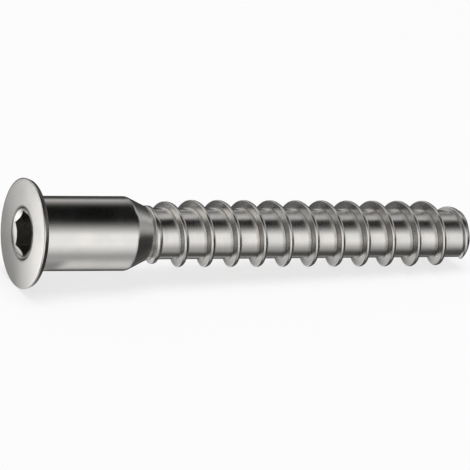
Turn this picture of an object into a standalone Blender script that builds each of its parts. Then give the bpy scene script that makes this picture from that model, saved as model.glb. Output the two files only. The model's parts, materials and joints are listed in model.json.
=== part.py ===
"""A one-piece furniture connecting screw, turned and thread-rolled from one steel blank.

Thin round flat head with a countersunk hexagon socket, a thick plain shoulder, a conical
neck, and a coarse right-hand thread on a slightly tapered core with a blunt, bevelled tip.
Metres, +Z up. The screw is modelled standing on its head, with its axis on Z, and is then
laid on its side the way it comes to rest: on the rim of its head and on its last thread.
"""

from math import atan2, cos, pi, radians, sin, tan, tau

import bmesh
import bpy
import numpy as np
from mathutils import Matrix, Vector

# Head
HEAD_DIAMETER = 0.0112
HEAD_THICKNESS = 0.0006
HEAD_FRONT_ROUNDING = 0.00008
HEAD_BACK_ROUNDING = 0.0003

# Hexagon socket, whose countersink reaches a little past its corners
SOCKET_SIDES = 6
SOCKET_ACROSS_FLATS = 0.0040
SOCKET_DEPTH = 0.0038
SOCKET_POINT_DEPTH = 0.0005
COUNTERSINK_MARGIN = 0.0003
COUNTERSINK_ANGLE = radians(120)

# Shoulder, which ends this far from the face of the head, and neck
SHOULDER_DIAMETER = 0.0076
SHOULDER_END = 0.0112
NECK_LENGTH = 0.0025
NECK_END = SHOULDER_END + NECK_LENGTH
UNDER_HEAD_FILLET = 0.0002
SHOULDER_ROUNDING = 0.0012
NECK_FILLET = 0.0006

# Core of the threaded part
CORE_DIAMETER_AT_NECK = 0.0053
CORE_DIAMETER_AT_TIP = 0.00495
TOTAL_LENGTH = 0.0502
TIP_BEVEL = 0.00015

# Thread, whose steep flank faces the head and whose crest is bevelled on its back edge
THREAD_DIAMETER = 0.0069
THREAD_PITCH = 0.0030
CREST_LAND = 0.00024
BACK_BEVEL_WIDTH = 0.00022
BACK_BEVEL_DROP = 0.0001
FRONT_FLANK_ANGLE = radians(7)
BACK_FLANK_ANGLE = radians(20)
ROOT_DEPTH_IN_CORE = 0.0003

# Run-in, where the thread rises out of the neck, and run-out, where it gets low at the tip
THREAD_START_IN_NECK = 0.0017
THREAD_START = NECK_END - THREAD_START_IN_NECK
THREAD_START_ANGLE = radians(252)
RUN_IN_TURNS = 1.8
RUN_IN_EASE = 0.6
RUN_IN_SHIFT = 0.0005
RUN_OUT_TURNS = 1.0
RUN_OUT_EASE = 2.2
TIP_HEIGHT_SHARE = 0.3
FADED_DEPTH_IN_CORE = 0.0001

# How it lies: the turn about its own axis, from a socket corner that points down
LYING_TURN = radians(157.5)
STEEPEST_TILT = radians(45)
TILT_PRECISION = 1e-6

# Fineness of the faceted surface
STEPS_PER_TURN = 40
ARC_STEPS = 4
MERGE_DISTANCE = 1e-7
SEAM_MERGE_DISTANCE = 4e-6
SHARP_ANGLE = radians(25)

# How far a cutter reaches past the surface that it cuts
OVERRUN = 0.001

STEEL_COLOUR = (0.66, 0.65, 0.63, 1.0)
STEEL_ROUGHNESS = 0.28


def clear_scene():
    for item in list(bpy.data.objects):
        bpy.data.objects.remove(item)


def steel_material():
    material = bpy.data.materials.new("zinc_plated_steel")
    material.use_nodes = True
    shader = material.node_tree.nodes["Principled BSDF"]
    shader.inputs["Base Color"].default_value = STEEL_COLOUR
    shader.inputs["Metallic"].default_value = 1.0
    shader.inputs["Roughness"].default_value = STEEL_ROUGHNESS
    return material


def rounded_outline(corners):
    """Points (radius, height) of an outline whose corners (radius, height, rounding) are
    replaced by arcs that touch both of their sides."""
    points = []
    for place, (radius, height, rounding) in enumerate(corners):
        corner = Vector((radius, height))
        if not rounding:
            points.append(corner)
            continue
        before = (Vector(corners[place - 1][:2]) - corner).normalized()
        after = (Vector(corners[place + 1][:2]) - corner).normalized()
        half_opening = before.angle(after) / 2
        centre = corner + (before + after).normalized() * rounding / sin(half_opening)
        start = corner + before * rounding / tan(half_opening) - centre
        end = corner + after * rounding / tan(half_opening) - centre
        sweep = start.angle_signed(end)
        for step in range(ARC_STEPS + 1):
            turn = Matrix.Rotation(-sweep * step / ARC_STEPS, 2)
            points.append(centre + turn @ start)
    return points


def turned(name, outline):
    """A solid of revolution about Z from an outline that starts and ends on the axis. Its
    facets meet half a step away from the thread's sections, so that no edges lie together."""
    angle = THREAD_START_ANGLE + pi / STEPS_PER_TURN
    across = Vector((cos(angle), sin(angle), 0))
    shape = bmesh.new()
    corners = [
        shape.verts.new(across * radius + Vector((0, 0, height))) for radius, height in outline
    ]
    sides = [shape.edges.new(pair) for pair in zip(corners, corners[1:])]
    bmesh.ops.spin(
        shape,
        geom=corners + sides,
        cent=(0, 0, 0),
        axis=(0, 0, 1),
        angle=tau,
        steps=STEPS_PER_TURN,
        use_merge=True,
    )
    bmesh.ops.remove_doubles(shape, verts=shape.verts, dist=MERGE_DISTANCE)
    return finished(name, shape)


def finished(name, shape):
    bmesh.ops.recalc_face_normals(shape, faces=shape.faces)
    mesh = bpy.data.meshes.new(name)
    shape.to_mesh(mesh)
    shape.free()
    item = bpy.data.objects.new(name, mesh)
    bpy.context.scene.collection.objects.link(item)
    return item


def core_radius(height):
    """The core's radius, which falls evenly from the end of the neck to the tip."""
    share = (height - NECK_END) / (TOTAL_LENGTH - NECK_END)
    return (CORE_DIAMETER_AT_NECK + (CORE_DIAMETER_AT_TIP - CORE_DIAMETER_AT_NECK) * share) / 2


def blank():
    """The turned blank, with a stub past its bevelled tip, where it is cut off later."""
    bevel_start = TOTAL_LENGTH - TIP_BEVEL
    tip_radius = core_radius(bevel_start) - TIP_BEVEL
    return turned(
        "furniture_screw",
        rounded_outline(
            [
                (0, 0, 0),
                (HEAD_DIAMETER / 2, 0, HEAD_FRONT_ROUNDING),
                (HEAD_DIAMETER / 2, HEAD_THICKNESS, HEAD_BACK_ROUNDING),
                (SHOULDER_DIAMETER / 2, HEAD_THICKNESS, UNDER_HEAD_FILLET),
                (SHOULDER_DIAMETER / 2, SHOULDER_END, SHOULDER_ROUNDING),
                (core_radius(NECK_END), NECK_END, NECK_FILLET),
                (core_radius(bevel_start), bevel_start, 0),
                (tip_radius, TOTAL_LENGTH, 0),
                (tip_radius, TOTAL_LENGTH + OVERRUN, 0),
                (0, TOTAL_LENGTH + OVERRUN, 0),
            ]
        ),
    )


def run_in_height(turns):
    """The share of its full height that the thread has after so many turns from its start."""
    return min(1, turns / RUN_IN_TURNS) ** RUN_IN_EASE


def run_out_height(turns):
    """The same for the turns that are left before the end of the tip."""
    share = min(1, max(0, turns / RUN_OUT_TURNS)) ** RUN_OUT_EASE
    return TIP_HEIGHT_SHARE + (1 - TIP_HEIGHT_SHARE) * share


def thread():
    """The ridge of the thread: its section swept along the helix, with its root inside the
    core, from inside the neck to past the end of the tip."""
    crest = THREAD_DIAMETER / 2
    root = min(CORE_DIAMETER_AT_NECK, CORE_DIAMETER_AT_TIP) / 2 - ROOT_DEPTH_IN_CORE
    half_crest = (CREST_LAND + BACK_BEVEL_WIDTH) / 2
    back_edge = crest - BACK_BEVEL_DROP
    section = [
        (root, -half_crest - (crest - root) * tan(FRONT_FLANK_ANGLE)),
        (crest, -half_crest),
        (crest, -half_crest + CREST_LAND),
        (back_edge, half_crest),
        (root, half_crest + (back_edge - root) * tan(BACK_FLANK_ANGLE)),
    ]
    steps = round(STEPS_PER_TURN * (TOTAL_LENGTH + OVERRUN - THREAD_START) / THREAD_PITCH)
    shape = bmesh.new()
    across = Vector((cos(THREAD_START_ANGLE), sin(THREAD_START_ANGLE), 0))
    corners = [
        shape.verts.new(across * radius + Vector((0, 0, THREAD_START + along)))
        for radius, along in section
    ]
    sides = [shape.edges.new(pair) for pair in zip(corners, corners[1:] + corners[:1])]
    bmesh.ops.spin(
        shape,
        geom=corners + sides,
        cent=(0, 0, 0),
        axis=(0, 0, 1),
        dvec=(0, 0, THREAD_PITCH / STEPS_PER_TURN),
        angle=tau * steps / STEPS_PER_TURN,
        steps=steps,
    )
    bmesh.ops.holes_fill(shape, edges=[edge for edge in shape.edges if edge.is_boundary])
    for corner in shape.verts:
        fade(corner)
    return finished("thread_ridge", shape)


def fade(corner):
    """Lowers a point of the ridge where the thread runs in and runs out. The lower the run-in,
    the nearer it stands to the tip."""
    radius = corner.co.xy.length
    angle = atan2(corner.co.y, corner.co.x) - THREAD_START_ANGLE
    share_of_turn = angle / tau % 1
    whole_turns = round((corner.co.z - THREAD_START) / THREAD_PITCH - share_of_turn)
    turns = max(0, whole_turns + share_of_turn)
    run_in = run_in_height(turns)
    run_out = run_out_height((TOTAL_LENGTH - THREAD_START) / THREAD_PITCH - turns)
    base = core_radius(corner.co.z) - FADED_DEPTH_IN_CORE
    if radius > base:
        corner.co.xy *= (base + (radius - base) * run_in * run_out) / radius
    corner.co.z += RUN_IN_SHIFT * (1 - run_in)


def end_cutter():
    """All that lies past the end of the tip."""
    end = TOTAL_LENGTH + OVERRUN + THREAD_PITCH
    return turned(
        "end_cutter",
        [(0, TOTAL_LENGTH), (THREAD_DIAMETER, TOTAL_LENGTH), (THREAD_DIAMETER, end), (0, end)],
    )


def socket_corner_radius():
    return SOCKET_ACROSS_FLATS / 2 / cos(pi / SOCKET_SIDES)


def socket_cutter():
    """A hexagonal punch with one corner at +X and a low pyramid at its end."""
    length = SOCKET_DEPTH + OVERRUN
    place = Matrix.Translation((0, 0, length / 2 - OVERRUN))
    shape = bmesh.new()
    bmesh.ops.create_cone(
        shape,
        cap_ends=True,
        segments=SOCKET_SIDES,
        radius1=socket_corner_radius(),
        radius2=socket_corner_radius(),
        depth=length,
        matrix=place @ Matrix.Rotation(pi / SOCKET_SIDES, 4, "Z"),
    )
    floor = max(shape.faces, key=lambda face: face.calc_center_median().z)
    bmesh.ops.poke(shape, faces=[floor], offset=SOCKET_POINT_DEPTH)
    return finished("socket_cutter", shape)


def countersink_cutter():
    """The cone that opens the mouth of the socket."""
    slope = tan(COUNTERSINK_ANGLE / 2)
    radius = socket_corner_radius() + COUNTERSINK_MARGIN
    return turned(
        "countersink_cutter",
        [(0, -OVERRUN), (radius + OVERRUN * slope, -OVERRUN), (0, radius / slope)],
    )


def combine(item, tool, operation):
    """Joins the tool to the item or cuts it away, and clears the tool."""
    step = item.modifiers.new(tool.name, "BOOLEAN")
    step.operation = operation
    step.solver = "EXACT"
    step.object = tool
    graph = bpy.context.evaluated_depsgraph_get()
    old = item.data
    item.data = bpy.data.meshes.new_from_object(item.evaluated_get(graph))
    item.modifiers.clear()
    bpy.data.objects.remove(tool)
    bpy.data.meshes.remove(old)


def clean_seams(item):
    """Merges the points that the cuts left almost on top of each other."""
    shape = bmesh.new()
    shape.from_mesh(item.data)
    bmesh.ops.remove_doubles(shape, verts=shape.verts, dist=SEAM_MERGE_DISTANCE)
    bmesh.ops.dissolve_degenerate(shape, edges=shape.edges, dist=SEAM_MERGE_DISTANCE)
    loose = [edge for edge in shape.edges if edge.is_wire]
    bmesh.ops.delete(shape, geom=loose, context="EDGES")
    shape.to_mesh(item.data)
    shape.free()


def points_of(item):
    return np.array([corner.co for corner in item.data.vertices])


def lying_rotation(tilt):
    """Turns the screw from standing on its head to lying along +X, tip down by the tilt."""
    return Matrix.Rotation(pi / 2 + tilt, 3, "Y") @ Matrix.Rotation(LYING_TURN, 3, "Z")


def resting_tilt(points):
    """The tilt at which the rim of the head and the thread reach equally low."""
    in_head = points[:, 2] < HEAD_THICKNESS + UNDER_HEAD_FILLET
    least, most = 0, STEEPEST_TILT
    while most - least > TILT_PRECISION:
        tilt = (least + most) / 2
        heights = points @ np.array(lying_rotation(tilt))[2]
        if heights[in_head].min() < heights[~in_head].min():
            least = tilt
        else:
            most = tilt
    return tilt


def lay_down(screw):
    """Lays the screw along +X on the ground, with the origin under the middle of its box."""
    points = points_of(screw)
    rotation = lying_rotation(resting_tilt(points))
    lying = points @ np.array(rotation).T
    low, high = lying.min(axis=0), lying.max(axis=0)
    foot = Vector(((low[0] + high[0]) / 2, (low[1] + high[1]) / 2, low[2]))
    screw.matrix_world = Matrix.Translation(-foot) @ rotation.to_4x4()


def main():
    clear_scene()
    screw = blank()
    combine(screw, thread(), "UNION")
    combine(screw, end_cutter(), "DIFFERENCE")
    combine(screw, socket_cutter(), "DIFFERENCE")
    combine(screw, countersink_cutter(), "DIFFERENCE")
    clean_seams(screw)
    screw.data.materials.clear()
    screw.data.materials.append(steel_material())
    screw.data.shade_smooth()
    screw.data.set_sharp_from_angle(angle=SHARP_ANGLE)
    lay_down(screw)


main()
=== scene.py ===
# %% [markdown]
# # A one-piece furniture connecting screw
# This lesson dresses a packed screw for a product picture. The real screw is one piece of
# steel: a wire is headed, a hexagon is punched into the head, a thread is rolled between two
# dies, and the whole is plated with zinc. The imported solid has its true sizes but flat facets.
# So the screw is modelled again here, fine and smooth, in the same place, and stands for it.

import json
from math import cos, pi, radians, sin, sqrt, tan, tau

import bmesh
import bpy
from mathutils import Matrix, Vector


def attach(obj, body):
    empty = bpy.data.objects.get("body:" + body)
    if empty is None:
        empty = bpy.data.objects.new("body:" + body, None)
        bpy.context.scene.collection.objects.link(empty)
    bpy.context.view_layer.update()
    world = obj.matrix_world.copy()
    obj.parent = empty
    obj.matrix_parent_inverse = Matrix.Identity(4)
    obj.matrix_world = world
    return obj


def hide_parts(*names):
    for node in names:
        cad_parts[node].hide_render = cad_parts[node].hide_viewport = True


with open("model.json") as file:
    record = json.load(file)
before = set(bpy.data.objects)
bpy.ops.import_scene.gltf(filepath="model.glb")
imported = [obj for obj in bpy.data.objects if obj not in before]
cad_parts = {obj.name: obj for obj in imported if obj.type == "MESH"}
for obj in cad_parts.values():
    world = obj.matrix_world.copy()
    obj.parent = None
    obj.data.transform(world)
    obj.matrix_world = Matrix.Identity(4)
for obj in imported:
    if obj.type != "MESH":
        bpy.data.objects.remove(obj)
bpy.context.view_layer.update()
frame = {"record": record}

# %% [markdown]
# ## The sizes
# All sizes are in millimetres, measured along the screw from the face of its head. The main
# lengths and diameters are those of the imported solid. Some small forms differ: the rim's back,
# the countersink, the edges, and where the ridge starts and ends. Modelling a small part in
# millimetres keeps the numbers readable; one matrix at the end brings it to metres.

# %% Sizes of the screw in millimetres
HEAD_RADIUS = 5.6
HEAD_THICKNESS = 0.6
SHOULDER_RADIUS = 3.8
SHOULDER_END = 11.2
NECK_END = 13.7
CORE_AT_NECK = 2.65
CORE_AT_TIP = 2.475
LENGTH = 50.2
TIP_BEVEL = 0.15
THREAD_RADIUS = 3.45
PITCH = 3.0
STEPS = 96
MM = 0.001
MERGE_DISTANCE = 0.0005


def core_radius(height):
    """The core tapers a little from the neck to the tip."""
    share = (height - NECK_END) / (LENGTH - NECK_END)
    return CORE_AT_NECK + (CORE_AT_TIP - CORE_AT_NECK) * share


print("screw to model:", LENGTH, "mm long, thread", 2 * THREAD_RADIUS, "mm")

# %% [markdown]
# ## Outlines with rounded corners
# A turned or rolled part has no perfectly sharp corner. A chain of edges is drawn through the
# corners of the outline, and the bevel operator, set to vertices, replaces each corner by an
# arc. It could be drawn point by point, but then every radius would be worked out by hand.


# %% A helper that draws an outline
def outline(corners, arc_steps=5):
    """Edges through (radius, height, setback) corners. The arc starts a setback away."""
    wire = bmesh.new()
    points = [wire.verts.new((radius, 0, height)) for radius, height, _ in corners]
    for pair in zip(points, points[1:]):
        wire.edges.new(pair)
    for point, (_, _, setback) in zip(points, corners):
        if setback:
            bmesh.ops.bevel(
                wire,
                geom=[point],
                offset=setback,
                offset_type="OFFSET",
                segments=arc_steps,
                profile=0.5,
                affect="VERTICES",
                material=-1,
            )
    return wire


def finished(name, shape):
    """Turns a bmesh into an object of the scene."""
    mesh = bpy.data.meshes.new(name)
    shape.to_mesh(mesh)
    shape.free()
    item = bpy.data.objects.new(name, mesh)
    bpy.context.scene.collection.objects.link(item)
    return item


print("outline helpers are ready")

# %% [markdown]
# ## Head and shoulder
# The head is a thin disc whose rim narrows a little to its back, with a fine groove round the
# socket. The shoulder is a plain cylinder that comes straight out of it. Both are round, so
# their outline is spun once round the axis, as on a lathe. They end at a seam near the end of
# the shoulder, where the threaded part takes over.

# %% Spin the head and the shoulder
SEAM = 10.4
RIM_WIDTH = 0.16
RIM_TAPER = 0.17
GROOVE_RADIUS = 2.62
GROOVE_HALF_WIDTH = 0.12
GROOVE_DEPTH = 0.18
head = outline(
    [
        (0, 0, 0),
        (GROOVE_RADIUS - GROOVE_HALF_WIDTH, 0, 0),
        (GROOVE_RADIUS, GROOVE_DEPTH, 0),
        (GROOVE_RADIUS + GROOVE_HALF_WIDTH, 0, 0),
        (HEAD_RADIUS, 0, 0.08),
        (HEAD_RADIUS, RIM_WIDTH, 0.06),
        (HEAD_RADIUS - RIM_TAPER, HEAD_THICKNESS, 0.07),
        (SHOULDER_RADIUS, HEAD_THICKNESS, 0.2),
        (SHOULDER_RADIUS, SEAM, 0),
        (0, SEAM, 0),
    ]
)
HEAD_STEP = 0.2
for edge in head.edges[:]:
    pieces = int(edge.calc_length() / HEAD_STEP)
    if pieces:
        bmesh.ops.subdivide_edges(head, edges=[edge], cuts=pieces)
bmesh.ops.spin(
    head,
    geom=head.verts[:] + head.edges[:],
    cent=(0, 0, 0),
    axis=(0, 0, 1),
    angle=tau,
    steps=STEPS,
    use_merge=True,
)
bmesh.ops.remove_doubles(head, verts=head.verts, dist=MERGE_DISTANCE)
bmesh.ops.recalc_face_normals(head, faces=head.faces)
print("head and shoulder:", len(head.faces), "faces")
screw = finished("screw", head)

# %% [markdown]
# ## The hexagon socket
# A punch drives the hexagon into the head, and a countersink opens its mouth. Cutting is what
# happens to the real part, so it is done with two cutters and the Boolean modifier: a six-sided
# prism whose long edges are rounded a little and whose end is a low pyramid, and a cone.

# %% Cut the socket
ACROSS_FLATS = 4.0
CORNER_RADIUS = ACROSS_FLATS / 2 / cos(pi / 6)
SOCKET_DEPTH = 3.8
SOCKET_POINT = 0.5
SOCKET_ROUNDING = 0.06
COUNTERSINK_MARGIN = 0.18
COUNTERSINK_RADIUS = CORNER_RADIUS + COUNTERSINK_MARGIN
COUNTERSINK_HALF_ANGLE = radians(60)
COUNTERSINK_DEPTH = COUNTERSINK_RADIUS / tan(COUNTERSINK_HALF_ANGLE)
OVERRUN = 1


def cut(item, tool):
    """Cuts the tool out of the item and removes the tool."""
    step = item.modifiers.new(tool.name, "BOOLEAN")
    step.operation = "DIFFERENCE"
    step.solver = "EXACT"
    step.object = tool
    graph = bpy.context.evaluated_depsgraph_get()
    item.data = bpy.data.meshes.new_from_object(item.evaluated_get(graph))
    item.modifiers.clear()
    bpy.data.objects.remove(tool)


punch = bmesh.new()
bmesh.ops.create_cone(
    punch,
    cap_ends=True,
    segments=6,
    radius1=CORNER_RADIUS,
    radius2=CORNER_RADIUS,
    depth=SOCKET_DEPTH + OVERRUN,
    matrix=Matrix.Translation((0, 0, (SOCKET_DEPTH - OVERRUN) / 2))
    @ Matrix.Rotation(pi / 6, 4, "Z"),
)
floor_face = max(punch.faces, key=lambda face: face.calc_center_median().z)
bmesh.ops.poke(punch, faces=[floor_face], offset=SOCKET_POINT)
long_edges = [edge for edge in punch.edges if edge.calc_length() > SOCKET_DEPTH]
bmesh.ops.bevel(
    punch,
    geom=long_edges,
    offset=SOCKET_ROUNDING,
    offset_type="OFFSET",
    segments=3,
    profile=0.5,
    affect="EDGES",
    material=-1,
)
bmesh.ops.recalc_face_normals(punch, faces=punch.faces)
cut(screw, finished("punch", punch))

countersink = bmesh.new()
bmesh.ops.create_cone(
    countersink,
    cap_ends=True,
    segments=STEPS,
    radius1=COUNTERSINK_RADIUS + OVERRUN * tan(COUNTERSINK_HALF_ANGLE),
    radius2=0,
    depth=COUNTERSINK_DEPTH + OVERRUN,
    matrix=Matrix.Translation((0, 0, (COUNTERSINK_DEPTH - OVERRUN) / 2)),
)
bmesh.ops.remove_doubles(countersink, verts=countersink.verts, dist=MERGE_DISTANCE)
bmesh.ops.recalc_face_normals(countersink, faces=countersink.faces)
cut(screw, finished("countersink", countersink))
print("with its socket:", len(screw.data.polygons), "faces")

# %% [markdown]
# ## The thread
# Rolling leaves a ridge with a steep front flank, a narrow land on its crest and a bevelled
# back edge. One pitch of that section is drawn as an outline along the screw. Spinning it with
# a step forward of one ninety-sixth of the pitch makes the helix, and since the section is just
# one pitch long, each turn meets the next without a gap. A float layer remembers where on the
# section each point was, so that the run-in and the run-out can be shaped afterwards.

# %% Sweep the section of the thread
HEIGHT = THREAD_RADIUS - CORE_AT_NECK
LAND = 0.24
BACK_BEVEL = 0.22
BACK_DROP = 0.1
FRONT_FLANK = radians(7)
BACK_FLANK = radians(20)
HALF_CREST = (LAND + BACK_BEVEL) / 2
FRONT_FOOT = HALF_CREST + HEIGHT * tan(FRONT_FLANK)
BACK_FOOT = HALF_CREST + (HEIGHT - BACK_DROP) * tan(BACK_FLANK)
CREST_AT_ANGLE_0 = 12.9
FIRST_TURN = -1.5
TURNS = 15
LONGEST_EDGE = 0.13

thread = outline(
    [
        (CORE_AT_NECK, -PITCH / 2, 0),
        (CORE_AT_NECK, -FRONT_FOOT, 0.04),
        (THREAD_RADIUS, -HALF_CREST, 0.05),
        (THREAD_RADIUS, -HALF_CREST + LAND, 0.06),
        (THREAD_RADIUS - BACK_DROP, HALF_CREST, 0.03),
        (CORE_AT_NECK, BACK_FOOT, 0.12),
        (CORE_AT_NECK, PITCH / 2, 0),
    ],
    arc_steps=3,
)
for edge in thread.edges[:]:
    pieces = int(edge.calc_length() / LONGEST_EDGE)
    if pieces:
        bmesh.ops.subdivide_edges(thread, edges=[edge], cuts=pieces)
on_section = thread.verts.layers.float.new("on_section")
for point in thread.verts:
    point[on_section] = point.co.z
section_points = len(thread.verts)
start = Matrix.Rotation(tau * FIRST_TURN, 4, "Z")
start.translation.z = CREST_AT_ANGLE_0 + PITCH * FIRST_TURN
bmesh.ops.transform(thread, matrix=start, verts=thread.verts)
bmesh.ops.spin(
    thread,
    geom=thread.verts[:] + thread.edges[:],
    cent=(0, 0, 0),
    axis=(0, 0, 1),
    dvec=(0, 0, PITCH / STEPS),
    angle=tau,
    steps=STEPS,
)
one_turn = thread.verts[:] + thread.edges[:] + thread.faces[:]
for turn in range(1, TURNS):
    copied = bmesh.ops.duplicate(thread, geom=one_turn)["geom"]
    corners = [part for part in copied if isinstance(part, bmesh.types.BMVert)]
    bmesh.ops.translate(thread, vec=(0, 0, PITCH * turn), verts=corners)
print("thread:", section_points, "points on its section,", len(thread.faces), "faces")

# %% [markdown]
# ## Neck, run-in and run-out
# Between shoulder and core the blank narrows in a cone, and the thread climbs out of it over
# almost two turns and sinks again at the tip. Each point is moved straight in or out to the
# larger of two radii, that of the plain blank and that of the faded ridge. A soft maximum
# leaves the small fillet between them that rolling leaves, where a Boolean would leave a seam.
# The first half turn of the crest is also pushed along the screw, and the last leans a little.

# %% Shape the blank and the ridge together
neck = outline(
    [
        (SHOULDER_RADIUS, 0, 0),
        (SHOULDER_RADIUS, SHOULDER_END, 0.14),
        (CORE_AT_NECK, NECK_END, 0.13),
        (core_radius(LENGTH + PITCH), LENGTH + PITCH, 0),
    ]
)
neck_points = sorted((point.co.z, point.co.x) for point in neck.verts)
neck.free()


def blank_radius(height):
    """The radius of the blank before the thread is rolled."""
    for (low, below), (high, above) in zip(neck_points, neck_points[1:]):
        if height <= high:
            return below + (above - below) * max(0, height - low) / (high - low)
    return neck_points[-1][1]


def limited(value):
    """The value, kept between 0 and 1."""
    return min(1, max(0, value))


def soft_step(value):
    """Rises softly from 0 to 1."""
    value = limited(value)
    return value * value * (3 - 2 * value)


def soft_maximum(one, other, softness):
    """The larger of two numbers, rounded off where they meet."""
    return (one + other + sqrt((one - other) ** 2 + softness**2)) / 2


RUN_IN_START = -0.3
RUN_IN_TURNS = 1.8
RUN_IN_EASE = 0.6
RUN_IN_FILLET = 0.09
RUN_IN_SHIFT = 0.85
PUSHED_TURNS = 0.45
PUSH_EASE = 1.5
RUN_OUT_HEIGHT = 0.42
RUN_OUT_EASE = 3.2
RUN_OUT_SHIFT = 0.14
LEAN_BEFORE_END = 0.36
LEAN_TURNS = 0.3
RIDGE_HALF_WIDTH = 0.7
RIDGE_FADE = 0.8
ROOT_SOFTNESS = 0.02
LAST_CREST = (LENGTH - CREST_AT_ANGLE_0) / PITCH
FADED_DEPTH = 0.1
for point in thread.verts:
    section_place = point[on_section]
    turn = (point.co.z - section_place - CREST_AT_ANGLE_0) / PITCH
    run_in = min(1, max(0, turn - RUN_IN_START) / RUN_IN_TURNS) ** RUN_IN_EASE
    rest_of_height = limited(LAST_CREST - turn) ** RUN_OUT_EASE
    run_out = RUN_OUT_HEIGHT + (1 - RUN_OUT_HEIGHT) * rest_of_height
    near_ridge = 1 - soft_step((abs(section_place) - RIDGE_HALF_WIDTH) / RIDGE_FADE)
    pushed = limited(1 - turn / PUSHED_TURNS) ** PUSH_EASE
    leaning = soft_step(1 - abs(LAST_CREST - turn - LEAN_BEFORE_END) / LEAN_TURNS)
    near_crest = 1 - soft_step(abs(section_place) / (PITCH / 2))
    point.co.z += (RUN_IN_SHIFT * pushed + RUN_OUT_SHIFT * leaning) * near_crest
    old_radius = point.co.xy.length
    share = (old_radius - CORE_AT_NECK) / HEIGHT
    core = core_radius(point.co.z)
    ridge = core + share * (THREAD_RADIUS - core)
    fade = run_in * run_out * near_ridge
    faded = core - FADED_DEPTH + (ridge - core + FADED_DEPTH) * fade
    softness = ROOT_SOFTNESS + RUN_IN_FILLET * (1 - run_in) * near_ridge
    point.co.xy *= soft_maximum(blank_radius(point.co.z), faded, softness) / old_radius
bmesh.ops.remove_doubles(thread, verts=thread.verts, dist=MERGE_DISTANCE)
print("last crest, in turns:", round(LAST_CREST, 2))

# %% [markdown]
# ## Cut to length, bevel the tip and close the screw
# A plane cuts the swept sheet just past the seam and another just before the tip. The edge at
# the tip is extruded and drawn in to give the small bevel, and its hole is filled. The socket's
# half loses its flat end, and the two rings at the seam are bridged into one closed skin.

# %% Cut, bevel and join
FLAT = 0.001
SEAM_GAP = 0.2
END_INSET = 0.12


def ring_at(shape, height):
    """The open edges that lie on one level."""
    return [
        edge
        for edge in shape.edges
        if edge.is_boundary and all(abs(end.co.z - height) < FLAT for end in edge.verts)
    ]


bevel_start = LENGTH - TIP_BEVEL
thread_start = SEAM + SEAM_GAP
for height, side in ((thread_start, "clear_inner"), (bevel_start, "clear_outer")):
    bmesh.ops.bisect_plane(
        thread,
        geom=thread.verts[:] + thread.edges[:] + thread.faces[:],
        plane_co=(0, 0, height),
        plane_no=(0, 0, 1),
        **{side: True},
    )
grown = bmesh.ops.extrude_edge_only(thread, edges=ring_at(thread, bevel_start))
for point in (part for part in grown["geom"] if isinstance(part, bmesh.types.BMVert)):
    point.co.xy *= 1 - TIP_BEVEL / point.co.xy.length
    point.co.z = LENGTH
end = bmesh.ops.holes_fill(thread, edges=ring_at(thread, LENGTH))["faces"]
bmesh.ops.inset_region(thread, faces=end, thickness=END_INSET, use_even_offset=True)

thread.from_mesh(screw.data)
flat_end = [
    face
    for face in thread.faces
    if all(abs(corner.co.z - SEAM) < FLAT for corner in face.verts)
]
bmesh.ops.delete(thread, geom=flat_end, context="FACES")
seam_rings = ring_at(thread, SEAM) + ring_at(thread, thread_start)
bmesh.ops.bridge_loops(thread, edges=seam_rings)
bmesh.ops.recalc_face_normals(thread, faces=thread.faces)
print("open edges left:", sum(edge.is_boundary for edge in thread.edges))

# %% [markdown]
# ## Where the edges are
# Handling rubs the plating bright on every outward edge. Every inward corner and the socket get
# painted shade: their colour is darkened where shade falls. Blender's Pointiness would find them
# too, but it is lost in an export. So the angle between the two faces at each edge is measured
# here and kept with the mesh as two attributes, which the material reads. The groove round the
# socket and the back of the rim get painted shade all over.

# %% Keep the outward edges and the inward corners as attributes
FULL_ANGLE = radians(28)
SOCKET_MOUTH = 0.35
SOCKET_PAINTED_SHADE = 0.1
GROOVE_REACH = GROOVE_HALF_WIDTH * 1.01
RIM_BACK_RADIUS = SHOULDER_RADIUS + 0.4
RIM_BACK_START = RIM_WIDTH + 0.05
worn_edge = thread.verts.layers.float.new("worn_edge")
# painted shade: this attribute darkens the colour in inward corners, the socket, the groove and the
# rim's back
painted_shade = thread.verts.layers.float.new("painted_shade")
for edge in thread.edges:
    bend = edge.calc_face_angle_signed(0) / FULL_ANGLE
    for point in edge.verts:
        point[worn_edge] = max(point[worn_edge], min(1, bend))
        point[painted_shade] = max(point[painted_shade], min(1, -bend))
for point in thread.verts:
    from_axis, depth = point.co.xy.length, point.co.z
    # painted shade: a little, growing deeper into the socket
    if from_axis < COUNTERSINK_RADIUS and 0 < depth < SEAM:
        point[painted_shade] = max(point[painted_shade], min(1, depth / SOCKET_MOUTH) * SOCKET_PAINTED_SHADE)
    in_groove = abs(from_axis - GROOVE_RADIUS) < GROOVE_REACH and depth < HEAD_THICKNESS
    in_rim_back = RIM_BACK_START < depth < HEAD_THICKNESS + FLAT
    # painted shade in full in the groove round the socket and on the back of the rim
    if in_groove or (in_rim_back and from_axis > RIM_BACK_RADIUS):
        point[worn_edge] = 0
        point[painted_shade] = 1
print("worn points:", sum(point[worn_edge] > 0.5 for point in thread.verts))
print("dull points:", sum(point[painted_shade] > 0.5 for point in thread.verts))

# %% [markdown]
# ## Lay it in its place
# A screw can't stand on its tip: it lies on the rim of its head and on its thread, tip down by
# under three degrees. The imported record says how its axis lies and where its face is, so one
# matrix that is built from the record brings the mesh to the place of the solid. The mount on
# the face lies a little above the middle of the face, beside the socket.

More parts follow.
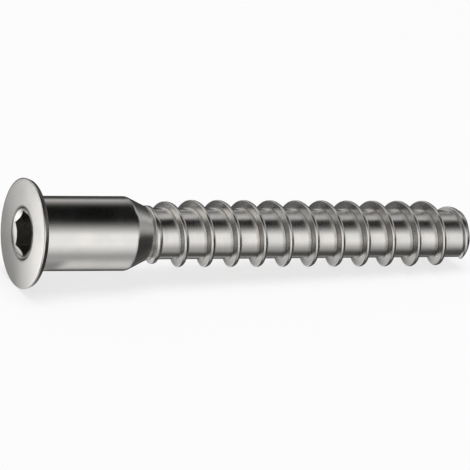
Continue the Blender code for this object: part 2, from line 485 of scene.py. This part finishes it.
# %% Place the screw where the solid is
LYING_TURN = radians(157.5)
FACE_POINT_RADIUS = 4.1
SHARP_ANGLE = radians(32)
mount = next(item for item in frame["record"]["mounts"] if item["name"] == "head_face")
axis = -Vector(mount["axis"])
tilt = Vector((1, 0, 0)).angle(axis)
laid = (Matrix.Rotation(pi / 2 + tilt, 3, "Y") @ Matrix.Rotation(LYING_TURN, 3, "Z")).to_4x4()
upright = Vector((sin(tilt), 0, cos(tilt)))
face_centre = Vector(mount["pos_m"]) - upright * FACE_POINT_RADIUS * MM
place = Matrix.Translation(face_centre) @ laid
bmesh.ops.transform(thread, matrix=place @ Matrix.Scale(MM, 4), verts=thread.verts)
thread.to_mesh(screw.data)
thread.free()
screw.name = "furniture_screw_body"
screw.data.shade_smooth()
screw.data.set_sharp_from_angle(angle=SHARP_ANGLE)
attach(screw, "root")
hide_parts("furniture_screw")
print("triangles:", sum(len(face.vertices) - 2 for face in screw.data.polygons))

# %% [markdown]
# ## Short words for nodes
# A material is a small network of nodes. Wiring it by hand takes four lines a node, which hides
# what the network does. These helpers make one node each and hand back its output, so that a
# finish reads almost like a sum. They work the same in a material, a group and the world.


# %% Helpers that make nodes
def add(tree, kind, inputs=None, **settings):
    """One node. An input is a number, a colour or another node's output."""
    node = tree.nodes.new("ShaderNode" + kind)
    for name, value in settings.items():
        setattr(node, name, value)
    for name, value in (inputs or {}).items():
        if isinstance(value, bpy.types.NodeSocket):
            tree.links.new(value, node.inputs[name])
        else:
            node.inputs[name].default_value = value
    return node


def math(tree, operation, *values):
    """A sum of one to three numbers."""
    return add(tree, "Math", dict(enumerate(values)), operation=operation).outputs[0]


def soft_range(tree, value, low, high, start, end):
    """Goes softly from start to end while the value goes from low to high."""
    reach = {"Value": value, "From Min": low, "From Max": high, "To Min": start, "To Max": end}
    return add(tree, "MapRange", reach, interpolation_type="SMOOTHSTEP").outputs["Result"]


def between(tree, value, rise, fall):
    """1 from the end of a soft rise to the start of a soft fall, and 0 outside them."""
    rising = soft_range(tree, value, *rise, 0, 1)
    return math(tree, "MULTIPLY", rising, soft_range(tree, value, *fall, 1, 0))


def blend(tree, share, one, other):
    """Mixes two numbers."""
    return add(tree, "Mix", {0: share, 2: one, 3: other}, data_type="FLOAT").outputs[0]


def blend_colours(tree, share, one, other):
    """Mixes two colours."""
    return add(tree, "Mix", {0: share, 6: one, 7: other}, data_type="RGBA").outputs[2]


def light_steps(tree, value, steps):
    """A strength of light that follows steps of (value, strength)."""
    low, high = steps[0][0], steps[-1][0]
    brightest = max(strength for _, strength in steps)
    spread = add(tree, "MapRange", {"Value": value, "From Min": low, "From Max": high})
    ramp = add(tree, "ValToRGB", {0: spread.outputs["Result"]})
    elements = ramp.color_ramp.elements
    while len(elements) < len(steps):
        elements.new(1)
    for element, (at, strength) in zip(elements, steps):
        element.position = (at - low) / (high - low)
        element.color = (strength / brightest,) * 3 + (1,)
    return math(tree, "MULTIPLY", ramp.outputs["Color"], brightest)


def towards(tree, vector, direction):
    """How far a vector reaches in a direction."""
    inputs = {0: vector, 1: Vector(direction).normalized()}
    return add(tree, "VectorMath", inputs, operation="DOT_PRODUCT").outputs["Value"]


def new_tree(name, empty=False):
    """A material and its nodes."""
    look = bpy.data.materials.new(name)
    look.use_nodes = True
    if empty:
        look.node_tree.nodes.clear()
    return look, look.node_tree


print("node helpers are ready")

# %% [markdown]
# ## Node groups for a plated surface
# Bright zinc is not a mirror. Under the plating lie fine lines from the dies and the lathe, all
# running round the screw, and the zinc itself grows in tiny crystals that turn the shine to
# satin. Each of the two effects is a group with named inputs, so that any plated part can use it.
# The lines come from a noise that is stretched round the axis, by feeding it the distance along
# the screw and the distance from the axis in place of plain coordinates.


# %% The two groups
def new_group(name, inputs, outputs):
    """An empty node group with its sockets."""
    group = bpy.data.node_groups.new(name, "ShaderNodeTree")
    for label, kind, value in inputs:
        socket = group.interface.new_socket(label, in_out="INPUT", socket_type=kind)
        if value is not None:
            socket.default_value = value
    for label, kind in outputs:
        group.interface.new_socket(label, in_out="OUTPUT", socket_type=kind)
    start = group.nodes.new("NodeGroupInput")
    end = group.nodes.new("NodeGroupOutput")
    return group, start.outputs, end.inputs


FLOAT, VECTOR = "NodeSocketFloat", "NodeSocketVector"
round_lines, given, result = new_group(
    "lines_round_the_axis",
    [("Vector", VECTOR, None), ("Spacing", FLOAT, 0.1), ("Wander", FLOAT, 0.15)],
    [("Lines", FLOAT)],
)
apart = add(round_lines, "SeparateXYZ", {0: given["Vector"]}).outputs
across = math(round_lines, "POWER", apart["X"], 2)
across = math(round_lines, "MULTIPLY_ADD", apart["Y"], apart["Y"], across)
from_axis = math(round_lines, "SQRT", across)
bearing = math(round_lines, "ARCTAN2", apart["Y"], apart["X"])
turned = {
    "X": math(round_lines, "DIVIDE", from_axis, given["Spacing"]),
    "Y": math(round_lines, "DIVIDE", apart["Z"], given["Spacing"]),
    "Z": math(round_lines, "MULTIPLY", math(round_lines, "ABSOLUTE", bearing), given["Wander"]),
}
turned = add(round_lines, "CombineXYZ", turned).outputs[0]
lines = add(round_lines, "TexNoise", {"Vector": turned, "Scale": 1.0, "Detail": 3.0})
round_lines.links.new(lines.outputs["Fac"], result["Lines"])

crystals, given, result = new_group(
    "satin_crystals",
    [("Vector", VECTOR, None), ("Grain", FLOAT, 0.1), ("Patch", FLOAT, 3.0)],
    [("Grains", FLOAT), ("Patches", FLOAT)],
)
finer = math(crystals, "DIVIDE", 1, given["Grain"])
grains = add(crystals, "TexNoise", {"Vector": given["Vector"], "Scale": finer, "Detail": 2.0})
wider = math(crystals, "DIVIDE", 1, given["Patch"])
patches = add(crystals, "TexNoise", {"Vector": given["Vector"], "Scale": wider, "Detail": 4.0})
crystals.links.new(grains.outputs["Fac"], result["Grains"])
crystals.links.new(patches.outputs["Fac"], result["Patches"])
print("groups:", [group.name for group in bpy.data.node_groups])

# %% [markdown]
# ## Zinc-plated steel
# The whole screw wears one finish: clear zinc, a light grey metal with a faint warm tone and
# cooler patches. It is fully metallic, so its colour is the colour of its reflections. Inward
# corners, the socket, the groove and the back of the rim get painted shade, a near-black colour.
# The roughness wanders a little with the patches and the lines, drops where edges are rubbed bright
# and rises in the corners and on the rolled part behind the neck. A Mapping node turns the
# object's coordinates to the screw's own axis and to millimetres, so the lines run round the
# screw although it lies askew.

# %% The finish of the screw
WARM_ZINC = (0.725, 0.70, 0.67, 1)
COOL_ZINC = (0.69, 0.68, 0.66, 1)
RUBBED_ZINC = (0.74, 0.73, 0.70, 1)
# painted shade: the near-black colour of inward corners, the socket, the groove and the rim's back
PAINTED_SHADE_ZINC = (0.24, 0.225, 0.21, 1)
LINE_HEIGHT = 0.0016 * MM
GRAIN_HEIGHT = 0.0036 * MM
LINE_SPACING = 0.09
GRAIN_SIZE = 0.14
PATCH_SIZE = 2.4
PAINTED_SHADE_SHARE = 0.9
WORN_SHARE = 0.35
ROLLED_FADE = 0.5
ROLLED_ROUGHNESS = 0.045
LINE_ROUGHNESS = 0.06
DULL_ROUGHNESS = 0.12
WORN_ROUGHNESS = -0.05

zinc, tree = new_tree("zinc_plated_steel")
own = add(tree, "TexCoord").outputs["Object"]
lie = {"Vector": own, "Location": face_centre, "Rotation": laid.to_euler(), "Scale": (MM, MM, MM)}
screw_place = add(tree, "Mapping", lie, vector_type="TEXTURE").outputs[0]
line_inputs = {"Vector": screw_place, "Spacing": LINE_SPACING}
lines = add(tree, "Group", line_inputs, node_tree=round_lines).outputs["Lines"]
grain_inputs = {"Vector": screw_place, "Grain": GRAIN_SIZE, "Patch": PATCH_SIZE}
crystal = add(tree, "Group", grain_inputs, node_tree=crystals).outputs
grains, patches = crystal["Grains"], crystal["Patches"]
worn = add(tree, "Attribute", attribute_name="worn_edge").outputs["Fac"]
worn = math(tree, "MULTIPLY", worn, soft_range(tree, patches, 0.35, 0.6, 0.35, 1))
painted_shade_mask = add(tree, "Attribute", attribute_name="painted_shade").outputs["Fac"]

tone = blend_colours(tree, soft_range(tree, patches, 0.38, 0.62, 0, 1), WARM_ZINC, COOL_ZINC)
# painted shade: the colour goes near-black where the corner attribute is high
tone = blend_colours(tree, math(tree, "MULTIPLY", painted_shade_mask, PAINTED_SHADE_SHARE), tone, PAINTED_SHADE_ZINC)
tone = blend_colours(tree, math(tree, "MULTIPLY", worn, WORN_SHARE), tone, RUBBED_ZINC)
along_screw = add(tree, "SeparateXYZ", {0: screw_place}).outputs["Z"]
rolled = soft_range(tree, along_screw, NECK_END - ROLLED_FADE, NECK_END + ROLLED_FADE, 0, 1)
roughness = soft_range(tree, patches, 0.3, 0.7, 0.16, 0.22)
for mask, more in (
    (rolled, ROLLED_ROUGHNESS),
    (lines, LINE_ROUGHNESS),
    (painted_shade_mask, DULL_ROUGHNESS),
    (worn, WORN_ROUGHNESS),
):
    roughness = math(tree, "MULTIPLY_ADD", mask, more, roughness)
from_lines = add(tree, "Bump", {"Height": lines, "Distance": LINE_HEIGHT, "Strength": 1.0})
from_both = {"Height": grains, "Distance": GRAIN_HEIGHT, "Normal": from_lines.outputs[0]}
from_both = add(tree, "Bump", from_both)

shader = tree.nodes["Principled BSDF"]
shader.inputs["Metallic"].default_value = 1.0
tree.links.new(tone, shader.inputs["Base Color"])
tree.links.new(roughness, shader.inputs["Roughness"])
tree.links.new(from_both.outputs[0], shader.inputs["Normal"])
screw.data.materials.clear()
screw.data.materials.append(zinc)
print("nodes in the finish:", len(tree.nodes))

# %% [markdown]
# ## The floor
# The screw lies on white paper. The paper is lit by the lamp and takes the soft shadow, and part
# of it glows for the camera alone, so that it comes out white without any more light on the
# screw. The metal mirrors the card and the room of the next steps in its place.

# %% White paper
PAPER_SIZE = 6.0
PAPER_GLOW = 0.72
floor = bmesh.new()
bmesh.ops.create_grid(floor, x_segments=1, y_segments=1, size=PAPER_SIZE / 2)
floor = finished("floor", floor)
floor.visible_glossy = False
paper, tree = new_tree("white_paper")
paper_shader = tree.nodes["Principled BSDF"]
paper_shader.inputs["Base Color"].default_value = (0.95, 0.95, 0.95, 1)
paper_shader.inputs["Roughness"].default_value = 0.9
paper_shader.inputs["Specular IOR Level"].default_value = 0.0
seen = add(tree, "LightPath").outputs["Is Camera Ray"]
mix = add(tree, "MixShader", {0: math(tree, "MULTIPLY", seen, PAPER_GLOW)})
tree.links.new(paper_shader.outputs[0], mix.inputs[1])
tree.links.new(add(tree, "Emission").outputs[0], mix.inputs[2])
tree.links.new(mix.outputs[0], tree.nodes["Material Output"].inputs[0])
floor.data.materials.append(paper)
print("paper:", PAPER_SIZE, "m across")

# %% [markdown]
# ## The reflector card
# Polished metal shows its surroundings more than its own colour, so a product photographer lays
# cards round it to draw its shape. The first card is a sheet just above the paper that only
# reflections see, clear but for two soft fields. A dark one lies under the thread and darkens
# the lower edge of the core. The other lies to the left, where the face of the head looks, and
# goes from grey to white, which gives the flat face its soft gradient.

# %% Lay the card
CARD_HEIGHT = 0.15
UNDER_THREAD = 0.08
LIGHT_BY_FACE = [(22.6, 0.3), (23.5, 0.35), (24.9, 0.82), (26.0, 1.2), (27.3, 1.5)]


def only_in_reflections(item):
    """Hides the item from every ray but mirrored ones."""
    for ray in ("camera", "diffuse", "shadow", "transmission"):
        setattr(item, "visible_" + ray, False)


def place_in_mm(tree):
    """The place on the card in millimetres."""
    spot = add(tree, "TexCoord").outputs["Object"]
    return add(tree, "VectorMath", {0: spot, "Scale": 1 / MM}, operation="SCALE").outputs[0]


def glow_where(tree, share, light):
    """The surface of a card that glows where the share is 1 and is clear where it is 0."""
    fields = add(tree, "MixShader", {0: share})
    tree.links.new(add(tree, "BsdfTransparent").outputs[0], fields.inputs[1])
    tree.links.new(add(tree, "Emission", {"Strength": light}).outputs[0], fields.inputs[2])
    add(tree, "OutputMaterial", {"Surface": fields.outputs[0]})


card = bmesh.new()
bmesh.ops.create_grid(card, x_segments=1, y_segments=1, size=PAPER_SIZE / 2)
bmesh.ops.translate(card, vec=(0, 0, CARD_HEIGHT * MM), verts=card.verts)
card = finished("reflector_card", card)
only_in_reflections(card)
greys, tree = new_tree("greys_of_the_card", empty=True)
in_mm = place_in_mm(tree)
apart = add(tree, "SeparateXYZ", {0: in_mm}).outputs
under = between(tree, apart["Y"], (-4.7, -2.7), (-1.6, -0.6))
under = math(tree, "MULTIPLY", under, soft_range(tree, apart["X"], -12.8, -11.6, 0, 1))
left_of_head = towards(tree, in_mm, (-0.9, -0.36, 0))
by_face = light_steps(tree, left_of_head, LIGHT_BY_FACE)
near_face = between(tree, left_of_head, (19.5, 21), (31, 34))
near_face = math(tree, "MULTIPLY", near_face, between(tree, apart["Y"], (-6, -3), (36, 42)))
light = blend(tree, near_face, UNDER_THREAD, by_face)
glow_where(tree, math(tree, "MAXIMUM", under, near_face), light)
card.data.materials.append(greys)
print("reflector card:", CARD_HEIGHT, "mm above the paper")

# %% [markdown]
# ## A small card over the thread
# A long dark band on the core alone would hide the ridges. So a small grey card hangs close over
# the thread, again for reflections only. It lights the upper side of the core and leaves the band
# on the wider shoulder as it is. Its edges fade out, so that no edge is mirrored.

# %% Hang the small card
OVER_HEIGHT = 16
LEFT, RIGHT, NEAR, FAR = -10, 40, -6, 16
over = bmesh.new()
corners = [
    over.verts.new((x * MM, y * MM, OVER_HEIGHT * MM))
    for x, y in ((LEFT, NEAR), (RIGHT, NEAR), (RIGHT, FAR), (LEFT, FAR))
]
over.faces.new(corners)
over = finished("thread_card", over)
only_in_reflections(over)
soft_grey, tree = new_tree("grey_of_the_thread_card", empty=True)
apart = add(tree, "SeparateXYZ", {0: place_in_mm(tree)}).outputs
here = between(tree, apart["Y"], (-2.2, -0.4), (9, 13))
here = math(tree, "MULTIPLY", here, between(tree, apart["X"], (-8.5, -6.5), (36, 39)))
glow_where(tree, here, soft_range(tree, apart["Y"], 1.5, 9, 0.62, 0.1))
over.data.materials.append(soft_grey)
print("thread card:", OVER_HEIGHT, "mm above the paper")

# %% [markdown]
# ## The room
# The camera sees plain white all round. The metal mirrors a studio with soft light in front and
# soft dark places elsewhere: a dark strip overhead, leaning to the tip, draws the long dark band
# on the upper side of the cylinder. The light from the head's side is held back. The side beyond
# the tip is dark, and the cone of the neck and the back edges of the thread mirror it. The back
# is dark too, less high up on the head's side, with one soft light low down for the flanks.

# %% World
world = bpy.data.worlds.new("studio")
bpy.context.scene.world = world
world.use_nodes = True
tree = world.node_tree
ROOM_LIGHT = 0.45
DARK_SIDE = 0.04
DARK_BACK = 0.05
LOW_BACK = 0.75
ray = add(tree, "TexCoord").outputs["Generated"]
apart = add(tree, "SeparateXYZ", {0: ray}).outputs
overhead = towards(tree, ray, (0.5, -0.05, 0.87))
FROM_ABOVE = [(0, 1.03), (0.42, 1.22), (0.54, 1.03), (0.62, 0.69)]
FROM_ABOVE += [(0.72, 0.47), (0.807, 0.2), (0.88, 0.04), (0.92, 0)]
FROM_BELOW = [(-0.93, 0.75), (-0.87, 0.55), (-0.8, 0.42)]
FROM_BELOW += [(-0.7, 0.45), (-0.47, 0.85), (-0.2, 1.22)]
above = soft_range(tree, apart["Z"], -0.2, 0.1, 0, 1)
low_steps = light_steps(tree, apart["Z"], FROM_BELOW)
mirrored = blend(tree, above, low_steps, light_steps(tree, overhead, FROM_ABOVE))
high_back = soft_range(tree, apart["Y"], 0.3, 0.6, 1, 0.8)
mirrored = math(tree, "MULTIPLY", mirrored, high_back)
head_side = soft_range(tree, apart["X"], -0.5, -0.2, 1, 0)
head_side = math(tree, "MULTIPLY", head_side, soft_range(tree, apart["Y"], -0.25, 0, 1, 0))
shaded = math(tree, "MULTIPLY", mirrored, soft_range(tree, apart["Z"], -0.5, 0.7, 0.5, 0.1))
mirrored = blend(tree, head_side, mirrored, shaded)
low_light = soft_range(tree, apart["Z"], -0.52, -0.32, 1, 0)
low_light = math(tree, "MULTIPLY", low_light, soft_range(tree, apart["X"], 0.1, 0.35, 1, 0))
low_light = blend(tree, low_light, DARK_BACK, LOW_BACK)
at_back = soft_range(tree, apart["Y"], 0.35, 0.6, 0, 1)
height = math(tree, "ADD", apart["Z"], soft_range(tree, apart["X"], -0.25, 0.15, 0.65, 0))
height = math(tree, "ADD", height, soft_range(tree, apart["X"], 0.28, 0.42, -0.3, 0))
at_back = math(tree, "MULTIPLY", at_back, soft_range(tree, height, 0.28, 0.52, 1, 0))
mirrored = blend(tree, at_back, mirrored, low_light)
beyond_tip = soft_range(tree, apart["X"], 0.52, 0.68, 0, 1)
beyond_tip = math(tree, "MULTIPLY", beyond_tip, soft_range(tree, apart["Z"], -0.06, 0.3, 1, 0))
mirrored = blend(tree, beyond_tip, mirrored, DARK_SIDE)
rays = add(tree, "LightPath").outputs
plain = soft_range(tree, rays["Is Camera Ray"], 0, 1, ROOM_LIGHT, 1)
strength = blend(tree, rays["Is Glossy Ray"], plain, mirrored)
background = tree.nodes["Background"]
background.inputs["Color"].default_value = (1, 1, 1, 1)
tree.links.new(strength, background.inputs["Strength"])
print("room light:", ROOM_LIGHT)

# %% [markdown]
# ## One soft lamp
# A wide round lamp high above the table lights the paper and leaves a faint soft shadow under
# the screw. Its own mirror image would burn out on the metal, so reflections don't see it.

# %% Lamp
LAMP_SIZE = 0.5
LAMP_HEIGHT = 0.7
LAMP_POWER = 2.8
lamp_data = bpy.data.lights.new("overhead_softbox", "AREA")
lamp_data.shape = "DISK"
lamp_data.size = LAMP_SIZE
lamp_data.energy = LAMP_POWER
lamp = bpy.data.objects.new("overhead_softbox", lamp_data)
bpy.context.scene.collection.objects.link(lamp)
lamp.location = (0, 0, LAMP_HEIGHT)
lamp.visible_glossy = False
lamp.visible_camera = False
print("lamp:", LAMP_POWER, "W")

# %% [markdown]
# ## The camera
# In the photograph the screw points away to the right: its axis turns 63.7 degrees from the
# line of sight, and the picture is taken with a long lens. So the camera is set from the screw's
# own axes, at the measured angle and distance.

# %% Camera
VIEW_ANGLE = radians(63.68)
CAMERA_DISTANCE = 0.40157
CAMERA_RIGHT = 0.021366
CAMERA_UP = -0.0001536
SENSOR_WIDTH = 36
LENS = 306.4
NEAREST, FARTHEST = 0.01, 20
camera_data = bpy.data.cameras.new("camera")
camera_data.sensor_width = SENSOR_WIDTH
camera_data.lens = LENS
camera = bpy.data.objects.new("camera", camera_data)
bpy.context.scene.collection.objects.link(camera)
bpy.context.scene.camera = camera
up, side, along = (laid.to_3x3().col[i] for i in range(3))
right = along * sin(VIEW_ANGLE) + side * cos(VIEW_ANGLE)
back = side * sin(VIEW_ANGLE) - along * cos(VIEW_ANGLE)
turn = Matrix((right, up, back)).transposed().to_4x4()
spot = face_centre + right * CAMERA_RIGHT + up * CAMERA_UP + back * CAMERA_DISTANCE
camera.matrix_world = Matrix.Translation(spot) @ turn
camera_data.clip_start = NEAREST
camera_data.clip_end = FARTHEST
print("camera:", CAMERA_DISTANCE, "m from the face,", LENS, "mm lens")

# %% [markdown]
# ## Plain colours
# The Standard view shows colours as they are, while the default one would grey the white paper.

# %% Plain colours
bpy.context.scene.view_settings.view_transform = "Standard"
